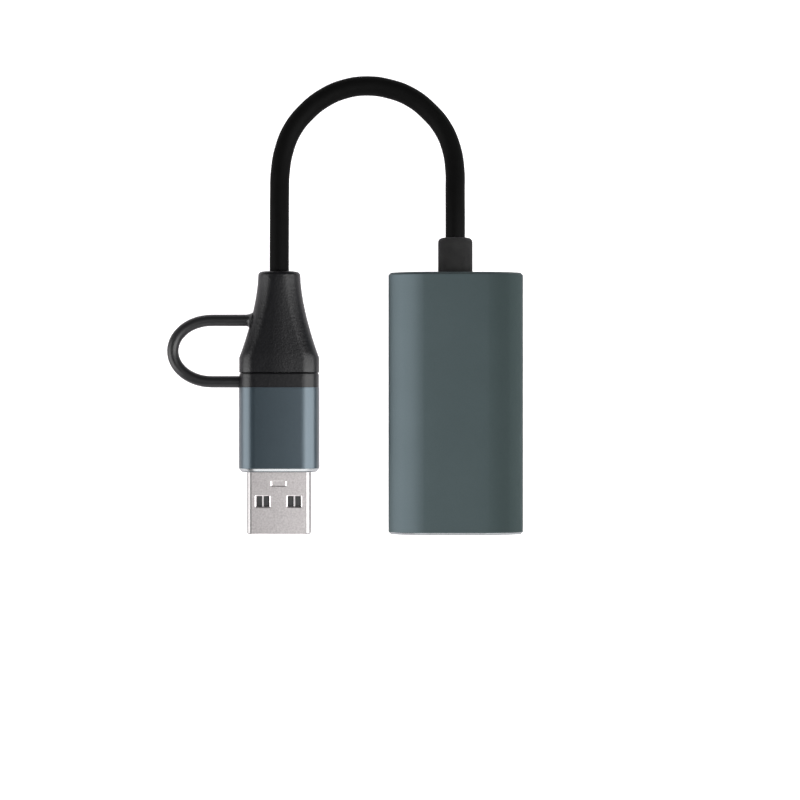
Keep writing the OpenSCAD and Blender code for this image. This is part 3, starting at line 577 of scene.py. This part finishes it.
relief = round_bar("strain_relief_rubber", relief_r, rear_y, exit_y, 0, box_cable_z)
pick_edges(lambda middle, way: near(middle.y, exit_y))
round_edges(relief_round, 8)
pick_faces(lambda middle, normal: normal.y < -0.99)
bpy.ops.mesh.inset(thickness=relief_r - neck_r)
extrude(0, -plate_t, 0)
extrude(0, 0, 0)
resize(flange_r / neck_r, 1, flange_r / neck_r, relief_axis)
extrude(0, -flange_t, 0)
bpy.ops.mesh.inset(thickness=flange_r - bore_r)
pick_faces(lambda middle, normal: normal.y > 0.99 and near(middle.y, exit_y))
bpy.ops.mesh.inset(thickness=relief_r - relief_round - bore_r)
pick_faces(lambda middle, normal: abs(normal.y) > 0.99 and abs(middle.x) < 0.01 * mm)
bpy.ops.mesh.bridge_edge_loops()
complete(relief, "capture_box", ["strain_relief"], [relief_rubber], 0)

# %% [markdown]
# ## The aluminium box
# The box is a length of extruded tube with a flat top and bottom, broad round shoulders and short upright
# sides. Its section is drawn first as a cage of flat faces: a block for the sides, with its top and bottom
# faces extruded and narrowed. Bevels then turn the cage's edges into arcs that meet the faces smoothly, so
# each cage edge lies where the tangents of its arc cross. The flat is cut into strips and smoothed in
# height, so it passes softly into the shoulders. The end rims are chamfered, and the front one is polished.

# %% Box tube
box_w = 25.2 * mm
box_l = 48.9 * mm
box_h = 12 * mm
box_flat_w = 12.4 * mm
box_side_h = 6.4 * mm
box_side_r = 1.2 * mm
box_wall = 0.7 * mm
box_chamfer = 0.45 * mm

run = (box_w - box_flat_w) / 2
drop = (box_h - box_side_h) / 2
shoulder_r = (run**2 + drop**2) / (2 * drop)
corner_turn = acos((box_w / 2 - box_side_r - box_flat_w / 2) / (shoulder_r - box_side_r))
shoulder_turn = pi / 2 - corner_turn
shoulder_reach = shoulder_r * tan(shoulder_turn / 2)
corner_reach = box_side_r * tan(corner_turn / 2)
cage_flat = box_flat_w / 2 + shoulder_reach
cage_drop = (shoulder_reach + corner_reach) * sin(shoulder_turn)
sliver = 0.01 * mm
flat_strips = 7
strip_w = 0.85 * mm


def is_flat(middle):
    return abs(middle.x) < box_flat_w / 2


box = block(
    "box_tube_shell", (-box_w / 2, box_w / 2), (-box_l / 2, box_l / 2), (cage_drop, box_h - cage_drop)
)
for up in (-1, 1):
    pick_faces(lambda middle, normal: normal.z * up > 0.99)
    extrude(0, 0, up * cage_drop)
    resize(2 * cage_flat / box_w, 1, 1, (0, 0, 0))
bpy.ops.mesh.select_all(action="SELECT")
bpy.ops.mesh.dissolve_limited(angle_limit=radians(1))
pick_edges(lambda middle, way: near(abs(middle.x), box_w / 2) and abs(way.y) > 0.9)
round_edges(corner_reach, 5)
pick_edges(lambda middle, way: near(abs(middle.x), cage_flat) and abs(way.y) > 0.9)
round_edges(shoulder_reach - sliver, 16)
bpy.ops.mesh.select_all(action="SELECT")
bpy.ops.mesh.remove_doubles(threshold=2 * sliver)
for i in range(-flat_strips, flat_strips + 1):
    bpy.ops.mesh.select_all(action="SELECT")
    bpy.ops.mesh.bisect(plane_co=(i * strip_w, 0, 0), plane_no=(1, 0, 0))
pick_edges(lambda middle, way: near(abs(middle.y), box_l / 2) and abs(way.z) > 0.9 and is_flat(middle))
bpy.ops.mesh.dissolve_edges()
pick_edges(lambda middle, way: abs(way.y) > 0.9 and abs(middle.x) < cage_flat)
bpy.ops.mesh.vertices_smooth(factor=0.5, repeat=24, xaxis=False, yaxis=False)
pick_edges(lambda middle, way: near(abs(middle.y), box_l / 2))
round_edges(box_chamfer, 1)
box.data.materials.append(box_aluminium)
box.data.materials.append(rim_edge)
pick_faces(lambda middle, normal: -0.9 < normal.y < -0.5)
box.active_material_index = 1
bpy.ops.object.material_slot_assign()
pick_faces(lambda middle, normal: abs(normal.y) > 0.99)
bpy.ops.mesh.inset(thickness=box_wall - box_chamfer)
bpy.ops.mesh.bridge_edge_loops()
complete(box, "capture_box", ["box_tube"], [], turned_edge)

# %% [markdown]
# ## Bars and tubes on the plug's axis
# The plug's housing, the adapter and both metal plugs lie on one line along Y, and each starts as a bar
# with rounded long edges. Moulded and extruded bars are slightly crowned, so their block is cut along the
# middle and the cut is raised to a low ridge and rounded, like a roof. A tube is a bar with both ends inset
# by the wall and bridged through.

# %% Bars and tubes
plug_axis = (plug_x, 0, plug_z)


def square_bar(name, width, height, start, end):
    """A block on the plug's axis."""
    return block(
        name, (plug_x - width / 2, plug_x + width / 2), (start, end),
        (plug_z - height / 2, plug_z + height / 2),
    )


def plug_bar(name, width, height, radius, start, end, segments=10):
    """A bar on the plug's axis with rounded long edges."""
    piece = square_bar(name, width, height, start, end)
    pick_edges(lambda middle, way: abs(way.y) > 0.9)
    round_edges(radius, segments)
    return piece


def is_ridge(middle, way):
    return near(middle.x, plug_x) and abs(way.y) > 0.7


def roofed_bar(name, width, height, tilt, ridge, start, end):
    """A block whose broad sides slope up to a ridge, so far that its rounding brings it to the height."""
    apex = height / 2 + ridge * tan(tilt) / 2
    rise = width / 2 * tan(tilt)
    piece = square_bar(name, width, 2 * (apex - rise), start, end)
    bpy.ops.mesh.select_all(action="SELECT")
    bpy.ops.mesh.bisect(plane_co=plug_axis, plane_no=(1, 0, 0))
    for up in (-1, 1):
        pick_edges(lambda middle, way: is_ridge(middle, way) and (middle.z - plug_z) * up > 0)
        bpy.ops.transform.translate(value=(0, 0, up * rise))
    pick_edges(lambda middle, way: abs(way.z) > 0.9 and near(middle.x, plug_x))
    bpy.ops.mesh.dissolve_edges()
    return piece


def round_roof(width, tilt, ridge, radius):
    """Rounds the two ridges of a roofed bar, in step with its width, and then its four long corners."""
    pick_edges(is_ridge)
    bpy.ops.mesh.bevel(
        offset_type="PERCENT", offset_pct=200 * ridge / width, segments=8, affect="EDGES",
        clamp_overlap=False,
    )
    pick_edges(lambda middle, way: abs(way.y) > 0.7 and abs(middle.x - plug_x) > 1.1 * ridge)
    round_edges(radius * tan(pi / 4 - tilt / 2), 10)


def is_end(y, facing):
    """A test for the face that closes a bar at one end."""
    def test(middle, normal):
        on_axis = abs(middle.x - plug_x) < 0.1 * mm and abs(middle.z - plug_z) < 0.1 * mm
        return on_axis and near(middle.y, y) and normal.y * facing > 0.99
    return test


def hollow(start, start_wall, end, end_wall):
    """Makes the edited bar a tube: each end face is inset by its wall, and the two are bridged."""
    ends = (is_end(start, -1), is_end(end, 1))
    for test, wall in zip(ends, (start_wall, end_wall)):
        pick_faces(test)
        bpy.ops.mesh.inset(thickness=wall)
    pick_faces(lambda middle, normal: any(test(middle, normal) for test in ends))
    bpy.ops.mesh.bridge_edge_loops()


# %% [markdown]
# ## The plug's housing
# The housing is slim at the cable and flares to a straight band at the adapter, with a crease between the
# two. A roofed bar makes the band. Its far face is extruded in steps, each one narrowed by the flare's
# formula. One bevel then rounds the ridges all the way, and another the four long edges. Holes for the
# cable and the metal tip are cut last.

# %% Plug housing
plug_w = 15.1 * mm
plug_h = 7.9 * mm
plug_top_w = 8 * mm
plug_top_h = 6.6 * mm
plug_top_round = 0.75 * mm
plug_flare = 1.6
plug_y = 5.85 * mm
band_y = 8.65 * mm
flare_y = 24.2 * mm
plug_top_y = 24.95 * mm
housing_r = 3.1 * mm
housing_tilt = radians(3)
housing_ridge = 1.5 * mm
tip_w = 8.25 * mm
tip_h = 2.4 * mm
round_side = 0.498
hole_past = 1 * mm
hole_l = 3 * mm
flare_steps = 12


def flared(end, band, share):
    return end + (band - end) * share**plug_flare


housing = roofed_bar("plug_housing_shell", plug_w, plug_h, housing_tilt, housing_ridge, plug_y, band_y)
pick_faces(lambda middle, normal: normal.y > 0.99)
width, height = plug_w, plug_h
for i in range(1, flare_steps + 1):
    share = 1 - i / flare_steps
    next_width = flared(plug_top_w, plug_w, share)
    next_height = flared(plug_top_h, plug_h, share)
    extrude(0, (flare_y - band_y) / flare_steps, 0)
    resize(next_width / width, 1, next_height / height, plug_axis)
    width, height = next_width, next_height
extrude(0, plug_top_y - flare_y, 0)
round_roof(plug_w, housing_tilt, housing_ridge, housing_r)
pick_edges(lambda middle, way: near(middle.y, plug_top_y))
round_edges(plug_top_round - sliver, 6)
bpy.ops.mesh.select_all(action="SELECT")
bpy.ops.mesh.remove_doubles(threshold=2 * sliver)
cut(housing, round_bar("cable_hole", bore_r, plug_top_y - hole_l, plug_top_y + hole_past, plug_x, plug_z))
cut(housing, plug_bar("tip_hole", tip_w, tip_h, round_side * tip_h, plug_y - hole_past, plug_y + hole_l))
complete(housing, "capture_box", ["plug_housing"], [housing_plastic], moulded_edge)

# %% [markdown]
# ## The metal tip
# The reversible plug's tip is a drawn steel tube with fully round sides and a soft front lip. It only shows
# once the adapter is pulled off.

# %% Plug tip
tip_y = -0.8 * mm
tip_back_y = 10.85 * mm
tip_wall = 0.2 * mm
tip_lip = 0.1 * mm

tip = plug_bar("plug_shell_steel", tip_w, tip_h, round_side * tip_h, tip_y, tip_back_y)
pick_edges(lambda middle, way: near(middle.y, tip_y))
round_edges(tip_lip, 3)
hollow(tip_y, tip_wall - tip_lip, tip_back_y, tip_wall)
complete(tip, "capture_box", ["plug_shell"], [plated_steel], 0)

# %% [markdown]
# ## The tether
# A soft rubber loop is moulded into the housing's flank, bows out to the left and comes back to the
# adapter's collar. It starts as a filled circle that is pushed along the loop: each step extrudes it,
# turns it to the new heading and sets its size, which flares where it grows out of the housing. It belongs
# to both bodies, and here it is tied to neither: its mesh stays in the frame.

# %% Tether
tether_w = 2.2 * mm
tether_h = 2.4 * mm
tether_up_y = 15.75 * mm
tether_down_y = 4.1 * mm
tether_mid_y = (tether_up_y + tether_down_y) / 2
tether_half = (tether_up_y - tether_down_y) / 2
tether_bow = 7.4 * mm
bow_x = plug_x - 12.8 * mm
flank_x = plug_x - 5.3 * mm
collar_side_x = plug_x - 7.5 * mm
tether_in = 0.4 * mm
bow_steps = 28

# millimetres out of the flank, how many times its plain thickness, and the share of the flank's slope
root = [(-0.7, 1.5, 1), (0.0, 1.5, 1), (0.18, 1.3, 0.8), (0.4, 1.14, 0.5), (0.7, 1.04, 0.2), (1.1, 1, 0)]
flank_slope = 0.24
stations = [
    (flank_x - out * mm, tether_up_y, pi - flank_slope * share, scale) for out, scale, share in root
]
for i in range(bow_steps + 1):
    angle = pi / 2 + pi * i / bow_steps
    heading = atan2(tether_half * cos(angle), -tether_bow * sin(angle)) % (2 * pi)
    stations.append((
        bow_x + tether_bow * cos(angle), tether_mid_y + tether_half * sin(angle), heading, 1.0
    ))
stations.append((collar_side_x + tether_in, tether_down_y, 2 * pi, 1.0))

deselect()
start_x, start_y, heading, size = stations[0]
centre = Vector((start_x, start_y, plug_z))
bpy.ops.mesh.primitive_circle_add(
    vertices=24, radius=size * tether_w / 2, fill_type="NGON", location=centre,
    rotation=(0, pi / 2, heading - pi),
)
tether = begin("tether_loop")
bpy.ops.mesh.select_all(action="SELECT")
resize(1, 1, tether_h / tether_w, centre)
for x, y, next_heading, next_size in stations[1:]:
    extrude(x - centre.x, y - centre.y, 0)
    centre = Vector((x, y, plug_z))
    bpy.ops.transform.rotate(value=heading - next_heading, orient_axis="Z", center_override=centre)
    resize(next_size / size, next_size / size, next_size / size, centre)
    heading, size = next_heading, next_size
bpy.ops.mesh.select_all(action="SELECT")
bpy.ops.mesh.normals_make_consistent(inside=False)
complete(tether, None, ["tether"], [tether_rubber], 0)
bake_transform(tether)

# %% [markdown]
# ## The adapter's collar and sleeve
# The collar is a black plastic cap with an opening for the metal tip and a spigot that is pressed into the
# sleeve. A thin land on its top closes the seam to the housing. The sleeve is a short aluminium tube with
# the same crowned section. Its foot is extruded and narrowed in two steps: a bright chamfer, and then a
# dark lip, which keeps the anodised colour as painted shade along the foot's edge.

# %% Collar and sleeve
sleeve_w = 15.2 * mm
sleeve_h = 8 * mm
sleeve_r = 3.2 * mm
sleeve_tilt = radians(2)
sleeve_ridge = 4.2 * mm
sleeve_wall = 0.7 * mm
sleeve_rim = 0.2 * mm
sleeve_chamfer_l = 0.65 * mm
bright_share = 0.75
sleeve_y = 3.05 * mm
sleeve_end_y = -12.9 * mm
collar_step = 0.1 * mm
collar_y = 5.55 * mm
spigot_l = 2.5 * mm
spigot_gap = 0.04 * mm
land_in = 0.5 * mm
land_h = 0.26 * mm
opening_w = 8.91 * mm
opening_h = 3.06 * mm

collar_w = sleeve_w - 2 * collar_step
collar_h = sleeve_h - 2 * collar_step
collar = roofed_bar("adapter_collar_cap", collar_w, collar_h, sleeve_tilt, sleeve_ridge, sleeve_y, collar_y)
round_roof(collar_w, sleeve_tilt, sleeve_ridge, sleeve_r - collar_step)
pick_faces(is_end(sleeve_y, -1))
bpy.ops.mesh.inset(thickness=sleeve_wall - collar_step + spigot_gap)
extrude(0, -spigot_l, 0)
pick_faces(is_end(collar_y, 1))
bpy.ops.mesh.inset(thickness=land_in)
resize((collar_w - 0.5 * land_in) / (collar_w - 2 * land_in), 1, 1, plug_axis)
extrude(0, land_h, 0)
cut(collar, plug_bar(
    "tip_opening", opening_w, opening_h, round_side * opening_h,
    sleeve_y - spigot_l - hole_past, collar_y + hole_past,
))
complete(collar, "adapter", ["adapter_collar"], [housing_plastic], moulded_edge)

chamfer_in = sleeve_wall - sleeve_rim
foot_y = sleeve_end_y + sleeve_chamfer_l
sleeve = roofed_bar("adapter_sleeve_shell", sleeve_w, sleeve_h, sleeve_tilt, sleeve_ridge, foot_y, sleeve_y)
round_roof(sleeve_w, sleeve_tilt, sleeve_ridge, sleeve_r)
pick_faces(is_end(foot_y, -1))
for share in (bright_share, 1 - bright_share):
    extrude(0, -share * sleeve_chamfer_l, 0)
    resize(1 - 2 * share * chamfer_in / sleeve_w, 1, 1 - 2 * share * chamfer_in / sleeve_h, plug_axis)
sleeve.data.materials.append(sleeve_aluminium)
sleeve.data.materials.append(foot_edge)
# The chamfer's part nearest the sleeve is polished, and the dark lip below it keeps the anodised colour as
# painted shade.
bright_end_y = foot_y - bright_share * sleeve_chamfer_l
pick_faces(lambda middle, normal: -0.9 < normal.y < -0.3 and middle.y > bright_end_y)
sleeve.active_material_index = 1
bpy.ops.object.material_slot_assign()
hollow(sleeve_end_y, sleeve_rim, sleeve_y, sleeve_wall)
complete(sleeve, "adapter", ["adapter_sleeve"], [], turned_edge)

# %% [markdown]
# ## The host plug
# The flat host plug is folded from steel strip. Its front lip is rolled inwards, two square windows go
# through each broad side with their edges pressed in, and a shallow dimple is pressed into the upper side.
# The cutter for a window is a block with flared ends, so one cut makes the window and its pressed edge. The
# dimple's cutter is a block with sloping sides.

# %% Host plug
host_w = 12 * mm
host_h = 4.5 * mm
host_r = 0.9 * mm
host_wall = 0.3 * mm
host_lip = 0.26 * mm
host_y = -24.65 * mm
host_back_y = -7.4 * mm
window_w = 2.5 * mm
window_l = 2 * mm
window_x = 2.97 * mm
window_y = host_y + 6.2 * mm
pressed_w = 0.21 * mm
pressed_d = 0.16 * mm
dimple_w = 3.4 * mm
dimple_l = 1.3 * mm
dimple_d = 0.15 * mm
dimple_slope_w = 0.45 * mm
dimple_slope_l = 0.2 * mm
dimple_r = 0.25 * mm
dimple_past = 0.1 * mm
window_r = 0.2 * mm
flare_past = 1.6
dimple_y = sleeve_end_y - 2.2 * mm


def window_cutter(x):
    """A block through both broad sides that widens towards them."""
    straight = host_h / 2 - pressed_d
    flare_w = pressed_w * flare_past
    centre = (x, window_y, plug_z)
    cutter = block(
        "window", (x - window_w / 2, x + window_w / 2),
        (window_y - window_l / 2, window_y + window_l / 2), (plug_z - straight, plug_z + straight),
    )
    pick_edges(lambda middle, way: abs(way.z) > 0.9)
    round_edges(window_r, 3)
    for up in (-1, 1):
        pick_faces(lambda middle, normal: normal.z * up > 0.99)
        extrude(0, 0, up * pressed_d * flare_past)
        resize(1 + 2 * flare_w / window_w, 1 + 2 * flare_w / window_l, 1, centre)
    return cutter


host = plug_bar("host_plug_steel", host_w, host_h, host_r, host_y, host_back_y, 6)
pick_edges(lambda middle, way: near(middle.y, host_y))
round_edges(host_lip, 4)
hollow(host_y, host_wall - host_lip, host_back_y, host_wall)
host.data.materials.append(plug_steel)
# The sides and rounded edges get the darker copy of the steel, a painted shade.
host.data.materials.append(painted_shade_side_steel)
pick_faces(lambda middle, normal: abs(normal.x) > 0.1)
host.active_material_index = 1
bpy.ops.object.material_slot_assign()
for side in (-1, 1):
    cut(host, window_cutter(plug_x + side * window_x))

dimple = block(
    "dimple", (plug_x - dimple_w / 2, plug_x + dimple_w / 2),
    (dimple_y - dimple_l / 2, dimple_y + dimple_l / 2),
    (plug_z + host_h / 2 - dimple_d, plug_z + host_h / 2 + dimple_past),
)
pick_edges(lambda middle, way: abs(way.z) > 0.9)
round_edges(dimple_r, 4)
pick_faces(lambda middle, normal: normal.z < -0.99)
resize(1 - 2 * dimple_slope_w / dimple_w, 1 - 2 * dimple_slope_l / dimple_l, 1, (plug_x, dimple_y, plug_z))
cut(host, dimple)
complete(host, "adapter", ["host_plug_shell"], [], folded_edge)

# %% [markdown]
# ## Finishes for the CAD nodes
# The pieces that stay as they are in the CAD model each get the finish of their real material.

# %% Dress the CAD nodes
node_finishes = [
    (plate_plastic, ["front_plate", "rear_plate"]),
    (plated_steel, ["video_socket_shell", "clock_crystal", "cable_ferrules", "plug_latches",
                    "adapter_socket_shell"]),
    (insulator_plastic, ["video_socket_insulator", "plug_insulator", "adapter_socket_tongue",
                         "adapter_end_plug"]),
    (ribbed_insulator, ["host_plug_insulator"]),
    (contact_gold, ["video_socket_contacts", "plug_contacts", "adapter_socket_contacts",
                    "host_plug_contacts"]),
    (board_laminate, ["main_board", "plug_board", "adapter_board"]),
    (chip_plastic, ["capture_chip", "memory_chip", "voltage_regulators", "adapter_resistors"]),
    (pad_silicone, ["thermal_pad"]),
    (ferrite, ["power_coil"]),
    (ceramic, ["capacitors"]),
    (wire_plastic, ["board_leads", "plug_leads"]),
]
for finish, names in node_finishes:
    for name in names:
        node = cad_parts[name]
        node.data.materials.clear()
        node.data.materials.append(finish)
print("dressed nodes:", sum(len(names) for finish, names in node_finishes))

# %% [markdown]
# ## The cord as a whole
# The cable is one free cord. It leaves the box at the strain relief's mouth, and the plug, the tether and
# the adapter all hang on it, so they are named with it.

nodes_on_cord = [
    "cable_ferrules", "plug_insulator", "plug_contacts", "plug_latches", "plug_board", "plug_leads",
    "adapter_end_plug", "adapter_socket_shell", "adapter_socket_tongue", "adapter_socket_contacts",
    "adapter_board", "adapter_resistors", "host_plug_insulator", "host_plug_contacts",
]
on_cord = [relief, housing, tip, tether, collar, sleeve, host]
on_cord += [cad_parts[name] for name in nodes_on_cord]
print("pieces on the cord:", len(on_cord))

# %% [markdown]
# ## Who is lit by which lamp
# In the photograph the plug has a bright highlight along each side, and the box only a broad soft one on
# its left, as if they had been lit one after the other. Here each pair of lamps lights only its own pieces
# and the floor, and only these can shade it. The strain relief is lit by neither pair. The other lamps
# light everything.

# %% Link the lamps
def light_only(lamps, pieces):
    lit = bpy.data.collections.new(lamps[0].name + "_pieces")
    for piece in pieces:
        lit.objects.link(piece)
    for lamp in lamps:
        lamp.light_linking.receiver_collection = lit
        lamp.light_linking.blocker_collection = lit


plug_pieces = [cable, *(piece for piece in on_cord if piece != relief)]
box_pieces = [box, *(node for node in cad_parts.values() if node not in plug_pieces)]
light_only([plug_left_lamp, plug_right_lamp], [floor, *plug_pieces])
light_only([box_left_lamp, box_right_lamp], [floor, *box_pieces])

# %% [markdown]
# ## The end
# The last step clears the selection.

# %% End
deselect()
